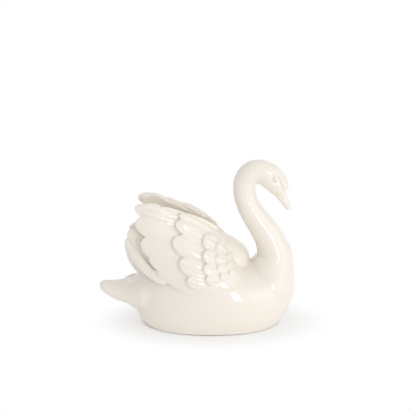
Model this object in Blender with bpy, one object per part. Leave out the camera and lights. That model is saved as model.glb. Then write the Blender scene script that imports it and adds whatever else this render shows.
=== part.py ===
"""A swan figurine, one casting of glazed porcelain.

The swan faces +X and is the same on both sides of the XZ plane. The origin
lies on the table under the middle of the figurine. The shapes below are drawn
in millimetres at the nominal size and overlap one another, and the casting is
the skin around all of them, cut flat underneath.
"""

import math

import bmesh
import bpy
from mathutils import Vector

# Overall size of the casting, in metres
LENGTH = 0.100
WIDTH = 0.053
HEIGHT = 0.085

# Sizes of the parts of the figure, in millimetres
NECK_THICKNESS = 11.6
HEAD_WIDTH = 10.4
BILL_WIDTH = 6.0
WING_GAP = 21.4
WING_THICKNESS = 2.4
FEATHER_THICKNESS = 2.2
FEATHER_STEP = 1.3
TAIL_WIDTH = 17.0
BREAST_WIDTH = 51.6

UNDER_THICKNESS = 3.4
TAIL_FEATHER_THICKNESS = 1.8

# Fineness of the skin, in millimetres, and the most triangles it may hold
SKIN_GRAIN = 0.55
SKIN_SMOOTHING_STEPS = 3
SKIN_FACTOR = 0.5
MOST_TRIANGLES = 11600

# Fineness of the shapes under the skin, in rows and columns of points
BODY_RINGS = 48
BODY_SEGMENTS = 64
NECK_RINGS = 72
TAIL_RINGS = 32
BILL_RINGS = 28
TUBE_SEGMENTS = 32
BUMP_RINGS = 12
BUMP_SEGMENTS = 16
FEATHER_RINGS = 28
FEATHER_SEGMENTS = 20
PLATE_COLUMNS = 40
PLATE_STEPS = 24

# The same sizes as the tables below are drawn with
DRAWN_NECK = 11.6
DRAWN_HEAD = 10.4
DRAWN_BILL = 6.0
DRAWN_GAP = 21.4
DRAWN_TAIL = 17.0
DRAWN_BREAST = 51.6

# The cream glaze
GLAZE_COLOUR = (0.86, 0.81, 0.73, 1.0)
GLAZE_ROUGHNESS = 0.12

MM = 0.001
NEAR_SIDE = -1.0
FAR_SIDE = 1.0

# Level slices of the body: height, rear end, widest place, front end, half
# width, fullness (2 is an ellipse)
BODY_SLICES = (
    (-4.0, 4.0, 6.0, 8.0, 0.0, 2.3),
    (-3.6, -16.0, 6.0, 31.0, 16.5, 2.3),
    (-1.5, -23.4, 6.0, 38.2, 20.4, 2.3),
    (0.0, -26.0, 6.0, 40.4, 21.7, 2.3),
    (3.0, -29.2, 6.0, 43.0, 23.3, 2.25),
    (6.0, -31.2, 7.0, 45.4, 24.4, 2.2),
    (10.0, -32.4, 8.0, 47.8, 25.3, 2.1),
    (15.0, -33.0, 9.0, 49.6, 25.8, 2.0),
    (20.5, -33.0, 9.0, 49.6, 25.5, 1.85),
    (25.0, -31.5, 8.0, 46.5, 24.4, 1.75),
    (29.0, -28.5, 6.0, 38.5, 21.6, 1.65),
    (32.0, -24.0, 4.0, 29.0, 17.0, 1.7),
    (34.0, -18.0, 2.0, 20.0, 12.0, 1.8),
    (35.0, -8.0, 1.0, 10.0, 6.0, 1.9),
    (35.2, 0.0, 1.0, 2.0, 0.0, 1.9),
)

# Sections along the tail: x, z, half height, half width
TAIL_SECTIONS = (
    (-50.3, 19.6, 0.0, 0.0),
    (-49.8, 19.5, 1.4, 2.4),
    (-48.4, 19.0, 2.6, 4.2),
    (-46.0, 18.1, 3.5, 5.6),
    (-43.0, 17.1, 4.5, 6.8),
    (-39.0, 16.4, 5.5, 8.5),
    (-35.0, 16.2, 6.5, 10.6),
    (-31.0, 16.0, 8.8, 13.0),
    (-26.0, 16.4, 11.0, 15.2),
    (-18.0, 17.4, 10.5, 15.0),
    (-12.0, 18.0, 0.0, 0.0),
)

# Sections along the neck and head: x, z, half thickness, half width
NECK_SECTIONS = (
    (35.8, 8.0, 0.0, 0.0),
    (36.0, 13.0, 11.6, 14.0),
    (36.5, 19.5, 13.3, 16.6),
    (37.2, 25.2, 12.9, 15.6),
    (38.1, 29.4, 11.7, 13.0),
    (38.9, 33.0, 10.4, 10.6),
    (39.2, 36.6, 9.3, 9.1),
    (38.0, 41.0, 8.2, 8.2),
    (35.8, 45.9, 7.4, 7.4),
    (32.2, 51.4, 6.75, 6.8),
    (28.1, 57.5, 6.15, 6.3),
    (25.1, 63.4, 5.75, 5.9),
    (23.6, 69.2, 5.65, 5.8),
    (24.0, 74.2, 5.75, 5.7),
    (26.5, 78.0, 6.0, 5.6),
    (30.2, 79.4, 6.1, 5.5),
    (34.1, 78.4, 6.2, 5.4),
    (37.6, 75.9, 6.3, 5.2),
    (40.3, 72.5, 5.6, 4.6),
    (42.0, 69.5, 4.3, 3.6),
    (43.2, 67.4, 0.0, 0.0),
)

# Sections along the bill: x, z, half thickness, half width
BILL_SECTIONS = (
    (38.3, 74.8, 0.0, 0.0),
    (39.2, 73.2, 2.6, 2.4),
    (40.9, 70.3, 3.6, 3.0),
    (42.0, 68.0, 3.1, 3.0),
    (43.1, 65.6, 2.4, 2.8),
    (44.4, 63.3, 1.95, 2.7),
    (45.6, 61.5, 1.7, 2.6),
    (46.4, 60.3, 1.2, 2.0),
    (46.7, 59.8, 0.0, 0.0),
)

# Rounded details of the head: x, y, z, then half lengths along, across and
# through the head, and how far the long one is turned down from +X, in degrees
KNOB = (43.0, 0.0, 73.1, 3.5, 2.3, 2.2, 64.0)
BROW = (41.7, 3.4, 76.3, 3.4, 1.2, 0.8, 67.0)
EYE = (39.2, 4.5, 76.3, 1.5, 1.2, 1.05, 42.0)

# Fillings under the skin where a wing meets the rump and the back: x, y, z, then
# half lengths along, across and through, and the turn down from +X, in degrees
FILLINGS = (
    (-16.8, 15.8, 29.8, 4.8, 3.2, 3.4, 40.0),
    (12.5, 15.6, 31.8, 5.5, 3.4, 3.2, 20.0),
)

# The crest of a wing: x, z, distance from the middle plane
CREST = (
    (-33.0, 62.8, 11.2),
    (-30.5, 65.0, 11.2),
    (-27.0, 66.6, 11.2),
    (-22.7, 67.0, 11.2),
    (-18.6, 65.5, 11.1),
    (-14.6, 63.0, 10.8),
    (-10.6, 60.8, 10.3),
    (-4.5, 59.0, 9.3),
    (-0.5, 57.2, 8.4),
    (3.5, 55.0, 7.6),
    (8.0, 52.6, 6.6),
    (12.0, 49.8, 5.6),
    (15.6, 46.6, 4.2),
    (19.6, 41.4, 2.6),
    (23.0, 37.2, 1.4),
    (26.0, 33.4, 0.8),
    (30.0, 30.0, 0.6),
    (36.0, 26.0, 0.5),
)

# Where the wing leaves the flank: x, distance from the middle plane
FLANK = (
    (-38.0, 13.0),
    (-30.0, 15.9),
    (-24.0, 18.0),
    (-18.0, 20.2),
    (-12.0, 22.4),
    (-4.0, 24.6),
    (4.0, 25.6),
    (11.0, 25.2),
    (18.0, 23.7),
    (24.0, 21.4),
    (30.0, 18.2),
    (36.0, 13.8),
)
FLANK_HEIGHT = 24.0
LEAST_RISE = 5.0

# How far a feather reaches into the plate that it lies on
FEATHER_BED = 0.4

# Below the top of the fade the feathers sink into the flank
FADE_TOP = 34.0
FADE_HEIGHT = 10.0
FADE_DEPTH = 1.6
FADE_CURVE = 1.5

# The bare skin that is rubbed smooth: below a height, and ahead of a place up
# to a height of the neck, but not on the tail; all fade out over one length
PLAIN_TOP = 24.0
PLAIN_FRONT = 22.0
PLAIN_NECK = 50.0
PLAIN_TAIL = -44.0
PLAIN_FADE = 5.0
PLAIN_SMOOTHING_STEPS = 20
PLAIN_LEVELS = 10

# The lower edge of the wing's plate and the points of the crest over it: x, z
PLATE_LOWER = (
    (32.0, 20.0),
    (26.0, 20.0),
    (18.0, 20.5),
    (8.0, 21.5),
    (-3.0, 22.5),
    (-11.0, 25.0),
    (-15.8, 29.5),
    (-20.3, 36.0),
    (-24.8, 43.5),
)
PLATE_UPPER = (
    (31.0, 28.5),
    (26.0, 33.0),
    (20.0, 40.6),
    (13.0, 48.8),
    (5.0, 54.0),
    (-4.0, 58.6),
    (-13.0, 62.0),
    (-21.0, 65.9),
    (-28.8, 64.6),
)

# Feathers in rows: tip x, tip z, root x, root z, half width, bend.
# A bend is how far the middle lies below the straight line.
LONG_FEATHERS = (
    (-31.0, 63.6, 6.0, 50.8, 4.8, -0.6),
    (-30.6, 56.6, 4.0, 43.6, 6.4, -0.4),
    (-28.0, 46.8, 6.0, 34.2, 6.6, 0.6),
    (-23.8, 39.4, 6.0, 29.4, 5.0, 1.0),
    (-19.4, 32.8, 4.0, 26.0, 4.4, 1.2),
)
MIDDLE_FEATHERS = (
    (-9.0, 59.8, 12.0, 48.8, 2.7, -0.3),
    (-10.6, 56.0, 12.0, 45.2, 3.7, 0.0),
    (-11.7, 48.6, 10.0, 38.0, 5.0, 0.4),
    (-8.3, 38.8, 12.0, 31.4, 4.8, 1.0),
    (-4.6, 30.2, 12.0, 26.6, 4.0, 1.0),
)
SMALL_FEATHERS = (
    (3.2, 48.6, 16.0, 41.8, 3.7, 0.2),
    (3.0, 41.8, 17.0, 37.4, 3.3, 0.4),
    (3.2, 36.0, 17.0, 33.0, 3.0, 0.6),
    (4.6, 30.8, 17.0, 29.2, 2.7, 0.6),
)
SHORT_FEATHERS = (
    (9.8, 45.2, 19.0, 39.6, 2.9, 0.2),
    (9.4, 40.2, 19.0, 36.2, 2.5, 0.2),
    (10.2, 35.8, 19.5, 33.2, 2.3, 0.2),
    (11.6, 32.0, 20.0, 30.4, 2.1, 0.2),
)
SHOULDER_FEATHERS = (
    (15.2, 40.0, 22.0, 35.6, 2.0, 0.1),
    (15.0, 36.6, 22.5, 33.4, 1.9, 0.1),
    (16.0, 33.2, 23.0, 31.2, 1.8, 0.1),
)
CREST_RIDGES = (
    (-28.5, 65.0, -8.6, 58.6, 1.3, -0.7),
    (-27.0, 61.3, -9.6, 56.2, 1.3, -0.4),
)
COVERT_RIDGES = (
    (-8.4, 59.2, 9.0, 51.0, 1.2, -0.5),
    (-8.8, 56.0, 6.0, 49.4, 1.0, -0.3),
)

# The rows from the crest to the shoulder: feathers, how deep the roots lie, and
# how much more or less than one step the tips stand out
FEATHER_ROWS = (
    (LONG_FEATHERS, 1.6, -0.8),
    (CREST_RIDGES, 0.3, -0.2),
    (MIDDLE_FEATHERS, 2.2, 0.7),
    (COVERT_RIDGES, 1.2, 1.1),
    (SMALL_FEATHERS, 1.8, 0.2),
    (SHORT_FEATHERS, 1.6, 0.0),
    (SHOULDER_FEATHERS, 1.4, -0.3),
)

# The outline of a feather, as shares of its length and of its width
ROOT_SHARE = 0.1
SWELL_SHARE = 0.6
ROOT_WIDTH = 0.62
TIP_ROUNDNESS = 6

# The thickness of a feather near its tip, as a share of its square, how late it
# thins, and how blunt its edges are (1 is an ellipse, less is blunter)
TIP_THICKNESS = 0.45
TIP_THINNING = 10
EDGE_BLUNTNESS = 0.7
FREE_EDGE_BLUNTNESS = 0.8

# Points this near the table count as on it, in mm
CUT_SNAP = 0.02

# Short steps for measuring a direction: along a tube and over a wing, in mm
TUBE_STEP = 0.01
WING_STEP = 0.4

# The long feathers under the wing, from the rump up and back.
# Tip x, y, z, root x, y, z, half width, bend.
UNDER_FEATHERS = (
    (-31.6, 4.4, 50.8, -11.0, 13.0, 34.0, 3.4, 0.8),
    (-33.3, 4.8, 50.5, -12.2, 14.2, 32.0, 3.6, 1.1),
    (-34.7, 5.2, 49.2, -13.5, 15.5, 30.0, 3.2, 1.4),
    (-35.8, 6.6, 45.8, -15.5, 19.2, 26.0, 2.8, 2.0),
)

# Sections of the back between the wings: x, z, half height, half width
BACK_SECTIONS = (
    (-35.2, 46.2, 0.0, 0.0),
    (-34.2, 45.9, 3.6, 3.4),
    (-31.0, 42.6, 7.8, 5.8),
    (-25.0, 37.0, 11.8, 9.8),
    (-17.0, 34.0, 14.0, 14.0),
    (-8.0, 34.0, 15.6, 16.6),
    (2.0, 34.0, 15.6, 16.0),
    (12.0, 31.0, 15.0, 14.5),
    (19.0, 25.5, 12.0, 10.5),
    (26.0, 20.0, 0.0, 0.0),
)

# Small feathers over the root of the tail: tip x, y, z, root x, y, z, half
# width, bend
TAIL_FEATHERS = (
    (-38.5, 3.2, 20.2, -27.0, 6.0, 22.8, 2.2, -0.2),
    (-36.0, 7.6, 18.4, -25.0, 12.0, 20.6, 2.2, -0.2),
)


def clear_scene():
    """Removes every object that the new scene starts with."""
    for obj in list(bpy.data.objects):
        bpy.data.objects.remove(obj, do_unlink=True)


def row_at(rows, t):
    """The row at t from 0 to 1 along a table, on a smooth curve through it."""
    place = min(max(t, 0.0), 1.0) * (len(rows) - 1)
    k = min(int(place), len(rows) - 2)
    f = place - k
    before = rows[max(k - 1, 0)]
    first = rows[k]
    second = rows[k + 1]
    after = rows[min(k + 2, len(rows) - 1)]
    found = []
    for a, b, c, d in zip(before, first, second, after):
        bend = (2 * a - 5 * b + 4 * c - d) * f**2 + (3 * b - a - 3 * c + d) * f**3
        found.append(b + 0.5 * ((c - a) * f + bend))
    return found


def value_at(rows, x, column):
    """The smooth value of one column of a table at x, its first column."""
    if x <= rows[0][0]:
        return rows[0][column]
    if x >= rows[-1][0]:
        return rows[-1][column]
    k = 0
    while rows[k + 1][0] < x:
        k += 1

    def slope(n):
        low = rows[max(n - 1, 0)]
        high = rows[min(n + 1, len(rows) - 1)]
        return (high[column] - low[column]) / (high[0] - low[0])

    span = rows[k + 1][0] - rows[k][0]
    f = (x - rows[k][0]) / span
    start = (1 + 2 * f) * (1 - f) ** 2 * rows[k][column]
    start += f * (1 - f) ** 2 * span * slope(k)
    end = f**2 * (3 - 2 * f) * rows[k + 1][column]
    end += f**2 * (f - 1) * span * slope(k + 1)
    return start + end


def power(value, exponent):
    """A power that keeps the sign of its base."""
    return math.copysign(abs(value) ** exponent, value)


def around(co):
    """A sphere point's height from 0 to 1 and its direction around the poles."""
    height = math.acos(max(-1.0, min(1.0, co.z))) / math.pi
    reach = math.hypot(co.x, co.y)
    if reach < 1e-6:
        return height, 0.0, 0.0
    return height, co.x / reach, co.y / reach


def press_in(bm, shape):
    """Adds a finished shape to the whole figure and frees it."""
    bmesh.ops.recalc_face_normals(shape, faces=shape.faces[:])
    carried = bpy.data.meshes.new("shape")
    shape.to_mesh(carried)
    shape.free()
    bm.from_mesh(carried)
    bpy.data.meshes.remove(carried)


def add_ball(bm, rings, segments, place):
    """Adds a closed ball whose points are moved by a placing function."""
    ball = bmesh.new()
    made = bmesh.ops.create_uvsphere(
        ball, u_segments=segments, v_segments=rings, radius=1.0
    )
    for vert in made["verts"]:
        vert.co = place(vert.co.copy())
    press_in(bm, ball)


def add_body(bm):
    """Adds the body, a stack of level ovals."""
    wide = BREAST_WIDTH / DRAWN_BREAST

    def place(co):
        height, along, across = around(co)
        z, rear, widest, front, half_width, fullness = row_at(BODY_SLICES, height)
        reach = front - widest if along > 0 else widest - rear
        x = widest + reach * power(along, 2 / fullness)
        y = wide * half_width * power(across, 2 / fullness)
        return Vector((x, y, z))

    add_ball(bm, BODY_RINGS, BODY_SEGMENTS, place)


def add_tube(bm, sections, rings, thick=1.0, wide=1.0):
    """Adds a closed tube of oval sections, upright to its own middle line."""

    def place(co):
        t, along, across = around(co)
        x, z, half_thick, half_width = row_at(sections, t)
        ahead = row_at(sections, t + TUBE_STEP)
        behind = row_at(sections, t - TUBE_STEP)
        run = Vector((ahead[0] - behind[0], 0.0, ahead[1] - behind[1])).normalized()
        up = Vector((-run.z, 0.0, run.x))
        side = Vector((0.0, 1.0, 0.0))
        middle = Vector((x, 0.0, z))
        out = up * (thick * half_thick * along)
        return middle + out + side * (wide * half_width * across)

    add_ball(bm, rings, TUBE_SEGMENTS, place)


def add_bump(bm, bump, side, wide):
    """Adds one rounded lump, its distance from the middle plane times wide."""
    x, y, z, half_long, half_wide, half_deep, down = bump
    turn = math.radians(down)
    along = Vector((math.cos(turn), 0.0, -math.sin(turn)))
    across = Vector((math.sin(turn), 0.0, math.cos(turn)))
    out = Vector((0.0, 1.0, 0.0))
    middle = Vector((x, side * y * wide, z))

    def place(co):
        point = middle + along * (half_long * co.z)
        return point + across * (half_deep * co.x) + out * (half_wide * co.y)

    add_ball(bm, BUMP_RINGS, BUMP_SEGMENTS, place)


def lean(x, z):
    """How far the outer face of a wing lies from the middle plane."""
    crest_height = value_at(CREST, x, 1)
    top = value_at(CREST, x, 2) * WING_GAP / DRAWN_GAP
    foot = value_at(FLANK, x, 1) * BREAST_WIDTH / DRAWN_BREAST
    rise = (z - FLANK_HEIGHT) / max(crest_height - FLANK_HEIGHT, LEAST_RISE)
    rise = min(max(rise, 0.0), 1.0)
    return top + (foot - top) * math.cos(0.5 * math.pi * rise)


def wing_point(x, z, lift, side):
    """A point at a height of lift over the outer face of a wing."""
    y = lean(x, z)
    by_x = (lean(x + WING_STEP, z) - lean(x - WING_STEP, z)) / (2 * WING_STEP)
    by_z = (lean(x, z + WING_STEP) - lean(x, z - WING_STEP)) / (2 * WING_STEP)
    out = Vector((-by_x, 1.0, -by_z)).normalized()
    point = Vector((x, y, z)) + out * lift
    point.y *= side
    return point


def add_plate(bm, side):
    """Adds the plate of a wing, which the feathers lie on."""
    bed = -0.5 * FEATHER_THICKNESS
    plate = bmesh.new()
    made = bmesh.ops.create_grid(
        plate, x_segments=PLATE_COLUMNS, y_segments=PLATE_STEPS, size=1.0
    )
    for vert in made["verts"]:
        u = 0.5 * (vert.co.x + 1.0)
        v = 0.5 * (vert.co.y + 1.0)
        low_x, low_z = row_at(PLATE_LOWER, u)
        high_x, high_z = row_at(PLATE_UPPER, u)
        x = low_x + (high_x - low_x) * v
        z = low_z + (high_z - low_z) * v
        vert.co = wing_point(x, z, bed, side)
    faces = plate.faces[:]
    bmesh.ops.recalc_face_normals(plate, faces=faces)
    outward = sum(face.normal.y * face.calc_area() for face in faces) * side
    if outward < 0:
        bmesh.ops.reverse_faces(plate, faces=faces)
    bmesh.ops.solidify(plate, geom=faces, thickness=WING_THICKNESS)
    press_in(bm, plate)


def tongue(t):
    """The width of a feather from its root, 0, to its tip, 1."""
    root = min(1.0, t / ROOT_SHARE) ** 0.5
    swell = math.sin(0.5 * math.pi * min(1.0, t / SWELL_SHARE))
    width = ROOT_WIDTH + (1.0 - ROOT_WIDTH) * swell
    return root * width * max(0.0, 1.0 - t**TIP_ROUNDNESS) ** 0.5


def thinning(t):
    """The thickness of a feather from its root, 0, to its tip, 1."""
    return max(TIP_THICKNESS, 1.0 - t**TIP_THINNING) ** 0.5


def add_feather(bm, feather, side, sink, step):
    """Adds a feather that lies on the outer face of a wing."""
    tip_x, tip_z, root_x, root_z, half_width, bend = feather
    length = math.hypot(tip_x - root_x, tip_z - root_z)
    away_x = -(tip_z - root_z) / length
    away_z = (tip_x - root_x) / length

    def place(co):
        height, along, across = around(co)
        t = 1.0 - height
        droop = 4.0 * bend * t * (1.0 - t)
        reach = half_width * tongue(t) * along + droop
        x = root_x + (tip_x - root_x) * t + away_x * reach
        z = root_z + (tip_z - root_z) * t + away_z * reach
        lift = -sink + (sink + step) * t - 0.5 * FEATHER_THICKNESS
        full = 0.5 * FEATHER_THICKNESS * thinning(t)
        if across < 0:
            full = max(full, lift + 0.5 * FEATHER_THICKNESS + FEATHER_BED)
        low = min(1.0, max(0.0, (FADE_TOP - z) / FADE_HEIGHT))
        lift -= FADE_DEPTH * low**FADE_CURVE
        return wing_point(x, z, lift + full * power(across, EDGE_BLUNTNESS), side)

    add_ball(bm, FEATHER_RINGS, FEATHER_SEGMENTS, place)


def add_free_feather(bm, feather, side, thickness):
    """Adds a feather that runs between two points in space."""
    tip = Vector(feather[0:3])
    root = Vector(feather[3:6])
    half_width, bend = feather[6:8]
    run = (tip - root).normalized()
    out = Vector((0.0, 1.0, 0.0))
    out = (out - run * out.dot(run)).normalized()
    down = run.cross(out).normalized()
    if down.z > 0:
        down = -down

    def place(co):
        height, along, across = around(co)
        t = 1.0 - height
        point = root + (tip - root) * t + down * (4.0 * bend * t * (1.0 - t))
        point += down * (half_width * tongue(t) * along)
        point += out * (0.5 * thickness * power(across, FREE_EDGE_BLUNTNESS))
        point.y *= side
        return point

    add_ball(bm, FEATHER_RINGS, FEATHER_SEGMENTS, place)


def add_wing(bm, side):
    """Adds one wing with its rows of feathers."""
    add_plate(bm, side)
    for feathers, sink, more in FEATHER_ROWS:
        for feather in feathers:
            add_feather(bm, feather, side, sink, FEATHER_STEP + more)
    for feather in UNDER_FEATHERS:
        add_free_feather(bm, feather, side, UNDER_THICKNESS)


def drawn_swan():
    """The overlapping shapes of the whole figure, as one mesh."""
    bm = bmesh.new()
    neck = NECK_THICKNESS / DRAWN_NECK
    head = HEAD_WIDTH / DRAWN_HEAD
    add_body(bm)
    add_tube(bm, TAIL_SECTIONS, TAIL_RINGS, wide=TAIL_WIDTH / DRAWN_TAIL)
    add_tube(bm, BACK_SECTIONS, TAIL_RINGS)
    add_tube(bm, NECK_SECTIONS, NECK_RINGS, thick=neck, wide=neck)
    add_tube(bm, BILL_SECTIONS, BILL_RINGS, wide=BILL_WIDTH / DRAWN_BILL)
    add_bump(bm, KNOB, NEAR_SIDE, head)
    for side in (NEAR_SIDE, FAR_SIDE):
        add_bump(bm, BROW, side, head)
        add_bump(bm, EYE, side, head)
        for filling in FILLINGS:
            add_bump(bm, filling, side, BREAST_WIDTH / DRAWN_BREAST)
        add_wing(bm, side)
        for feather in TAIL_FEATHERS:
            add_free_feather(bm, feather, side, TAIL_FEATHER_THICKNESS)
    bmesh.ops.scale(bm, vec=(MM, MM, MM), verts=bm.verts[:])
    mesh = bpy.data.meshes.new("swan_shapes")
    bm.to_mesh(mesh)
    bm.free()
    return mesh


def baked(obj):
    """A mesh of the object with its modifiers worked in, which then go."""
    graph = bpy.context.evaluated_depsgraph_get()
    mesh = bpy.data.meshes.new_from_object(obj.evaluated_get(graph))
    obj.modifiers.clear()
    obj.data = mesh
    return mesh


def plainness(point):
    """How bare the skin is at a point: 1 on the flanks, 0 on the feathers."""
    x = point.x / MM
    z = point.z / MM
    low = (PLAIN_TOP - z) / PLAIN_FADE
    front = min((x - PLAIN_FRONT) / PLAIN_FADE, (PLAIN_NECK - z) / PLAIN_FADE)
    off_tail = (x - PLAIN_TAIL) / PLAIN_FADE
    return min(1.0, max(0.0, min(max(low, front), off_tail)))


def mark_plain_skin(obj):
    """Puts the bare skin in a vertex group, in a few levels of weight."""
    group = obj.vertex_groups.new(name="plain")
    levels = [[] for _ in range(PLAIN_LEVELS + 1)]
    for vert in obj.data.vertices:
        levels[round(PLAIN_LEVELS * plainness(vert.co))].append(vert.index)
    for level, indices in enumerate(levels):
        group.add(indices, level / PLAIN_LEVELS, "REPLACE")


def add_skin(obj):
    """Turns the overlapping shapes into one closed skin."""
    skin = obj.modifiers.new("skin", "REMESH")
    skin.mode = "VOXEL"
    skin.voxel_size = SKIN_GRAIN * MM
    soft = obj.modifiers.new("soft", "SMOOTH")
    soft.factor = SKIN_FACTOR
    soft.iterations = SKIN_SMOOTHING_STEPS
    baked(obj)
    mark_plain_skin(obj)
    rubbed = obj.modifiers.new("rubbed", "SMOOTH")
    rubbed.factor = SKIN_FACTOR
    rubbed.iterations = PLAIN_SMOOTHING_STEPS
    rubbed.vertex_group = "plain"
    mesh = baked(obj)
    mesh.calc_loop_triangles()
    fewer = obj.modifiers.new("fewer", "DECIMATE")
    fewer.ratio = MOST_TRIANGLES / len(mesh.loop_triangles)
    fewer.use_collapse_triangulate = True
    baked(obj)


def fit_to_size(mesh):
    """Brings the skin above the table to the overall size."""
    xs = [vert.co.x for vert in mesh.vertices]
    ys = [vert.co.y for vert in mesh.vertices]
    top = max(vert.co.z for vert in mesh.vertices)
    stretch_x = LENGTH / (max(xs) - min(xs))
    stretch_y = WIDTH / (max(ys) - min(ys))
    stretch_z = HEIGHT / top
    middle_x = 0.5 * (max(xs) + min(xs))
    middle_y = 0.5 * (max(ys) + min(ys))
    for vert in mesh.vertices:
        vert.co.x = (vert.co.x - middle_x) * stretch_x
        vert.co.y = (vert.co.y - middle_y) * stretch_y
        vert.co.z = vert.co.z * stretch_z


def cut_foot(mesh):
    """Cuts the foot flat at the height of the table and closes it."""
    bm = bmesh.new()
    bm.from_mesh(mesh)
    cut = bmesh.ops.bisect_plane(
        bm,
        geom=bm.verts[:] + bm.edges[:] + bm.faces[:],
        dist=CUT_SNAP * MM,
        plane_co=(0.0, 0.0, 0.0),
        plane_no=(0.0, 0.0, 1.0),
        clear_inner=True,
    )
    rim = [item for item in cut["geom_cut"] if isinstance(item, bmesh.types.BMEdge)]
    bmesh.ops.edgeloop_fill(bm, edges=rim)
    bmesh.ops.recalc_face_normals(bm, faces=bm.faces[:])
    bm.to_mesh(mesh)
    bm.free()


def porcelain():
    """Cream white glazed porcelain."""
    material = bpy.data.materials.new("porcelain")
    material.use_nodes = True
    shader = material.node_tree.nodes["Principled BSDF"]
    shader.inputs["Base Color"].default_value = GLAZE_COLOUR
    shader.inputs["Roughness"].default_value = GLAZE_ROUGHNESS
    shader.inputs["Metallic"].default_value = 0.0
    return material


def main():
    """Builds the figurine."""
    clear_scene()
    swan = bpy.data.objects.new("swan", drawn_swan())
    bpy.context.scene.collection.objects.link(swan)
    add_skin(swan)
    fit_to_size(swan.data)
    cut_foot(swan.data)
    swan.data.shade_smooth()
    swan.data.materials.append(porcelain())


main()
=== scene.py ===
"""A swan figurine of glazed porcelain on a white table.

The swan faces +X and is the same on both sides of the XZ plane. Its shapes are
drawn in millimetres, overlap one another and are joined by one skin, as the
clay model for a mould is built up and then rubbed smooth. The skin is brought
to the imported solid's box, so that it stands exactly where the solid does, and
it is much finer, so that feathers have ridges and the head its small details.
"""

import logging
import math
from collections.abc import Callable, Sequence
from dataclasses import dataclass, field
from enum import Enum

import bmesh
import bpy
import numpy as np
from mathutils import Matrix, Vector

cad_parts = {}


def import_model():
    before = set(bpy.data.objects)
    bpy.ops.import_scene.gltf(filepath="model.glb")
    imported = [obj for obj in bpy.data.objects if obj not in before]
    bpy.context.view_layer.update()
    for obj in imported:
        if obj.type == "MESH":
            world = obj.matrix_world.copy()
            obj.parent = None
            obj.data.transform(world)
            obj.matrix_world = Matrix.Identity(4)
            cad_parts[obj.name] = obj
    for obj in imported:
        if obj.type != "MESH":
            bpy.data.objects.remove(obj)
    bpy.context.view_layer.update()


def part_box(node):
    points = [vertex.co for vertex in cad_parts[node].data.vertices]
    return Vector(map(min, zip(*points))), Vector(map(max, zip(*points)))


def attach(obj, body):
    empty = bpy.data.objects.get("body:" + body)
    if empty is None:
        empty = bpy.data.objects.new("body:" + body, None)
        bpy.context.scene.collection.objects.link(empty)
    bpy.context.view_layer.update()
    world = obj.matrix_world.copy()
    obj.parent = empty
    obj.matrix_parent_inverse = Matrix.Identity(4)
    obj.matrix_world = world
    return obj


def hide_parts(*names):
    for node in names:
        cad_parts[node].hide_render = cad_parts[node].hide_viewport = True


log = logging.getLogger("swan")

MM = 0.001
# A length that counts as none, and how near a plane a point counts as on it
NEARLY_ZERO = 1e-6
CUT_SNAP = 1e-7

Row = tuple[float, ...]
Rows = Sequence[Row]
# Gives points from their heights on a ball, 0 at the upper pole and 1 at the
# lower, and from the cosines and sines of their angles round the poles
Placing = Callable[[np.ndarray, np.ndarray, np.ndarray], np.ndarray]


class Side(Enum):
    """The two sides of the swan."""

    RIGHT = -1.0
    LEFT = 1.0


def smooth_rows(rows: Rows, t: np.ndarray) -> np.ndarray:
    """Reads a table on a smooth curve through its rows.

    Args:
        rows: The table.
        t: Places along it, 0 at the first row and 1 at the last.

    Returns:
        One row of values for each place.
    """
    table = np.asarray(rows, float)
    last = len(table) - 1
    place = np.clip(t, 0.0, 1.0) * last
    k = np.minimum(place.astype(int), last - 1)
    f = (place - k)[:, None]
    before = table[np.maximum(k - 1, 0)]
    first = table[k]
    second = table[k + 1]
    after = table[np.minimum(k + 2, last)]
    bend = (2 * before - 5 * first + 4 * second - after) * f**2
    bend += (3 * first - before - 3 * second + after) * f**3
    return first + 0.5 * ((second - before) * f + bend)


def smooth_value(rows: Rows, x: np.ndarray, column: int) -> np.ndarray:
    """Reads one column of a table at values of its first column.

    Args:
        rows: The table, its first column rising.
        x: Where to read it.
        column: Which column to read.

    Returns:
        The values of that column, on a smooth curve.
    """
    table = np.asarray(rows, float)
    xs = table[:, 0]
    ys = table[:, column]
    low = np.maximum(np.arange(len(xs)) - 1, 0)
    high = np.minimum(np.arange(len(xs)) + 1, len(xs) - 1)
    slopes = (ys[high] - ys[low]) / (xs[high] - xs[low])
    x = np.clip(x, xs[0], xs[-1])
    k = np.clip(np.searchsorted(xs, x) - 1, 0, len(xs) - 2)
    span = xs[k + 1] - xs[k]
    f = (x - xs[k]) / span
    start = (1 + 2 * f) * (1 - f) ** 2 * ys[k] + f * (1 - f) ** 2 * span * slopes[k]
    end = f**2 * (3 - 2 * f) * ys[k + 1] + f**2 * (f - 1) * span * slopes[k + 1]
    return start + end


def signed_power(values: np.ndarray, exponent: float | np.ndarray) -> np.ndarray:
    """Powers of the values, each with its value's own sign."""
    return np.sign(values) * np.abs(values) ** exponent


def with_xyz(x: np.ndarray, y: np.ndarray, z: np.ndarray) -> np.ndarray:
    """Points from their three coordinates."""
    return np.stack([x, y, z], axis=1)


def unit(vectors: np.ndarray) -> np.ndarray:
    """The vectors at length 1."""
    return vectors / np.linalg.norm(vectors, axis=1, keepdims=True)


def srgb(code: str) -> tuple[float, float, float, float]:
    """Turns an sRGB hex colour to linear.

    Args:
        code: Six hex digits.

    Returns:
        Linear red, green and blue, and an alpha of 1.
    """
    linear = []
    for first in (0, 2, 4):
        part = int(code[first : first + 2], 16) / 255
        dark = part <= 0.04045
        linear.append(part / 12.92 if dark else ((part + 0.055) / 1.055) ** 2.4)
    return (linear[0], linear[1], linear[2], 1.0)


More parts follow.
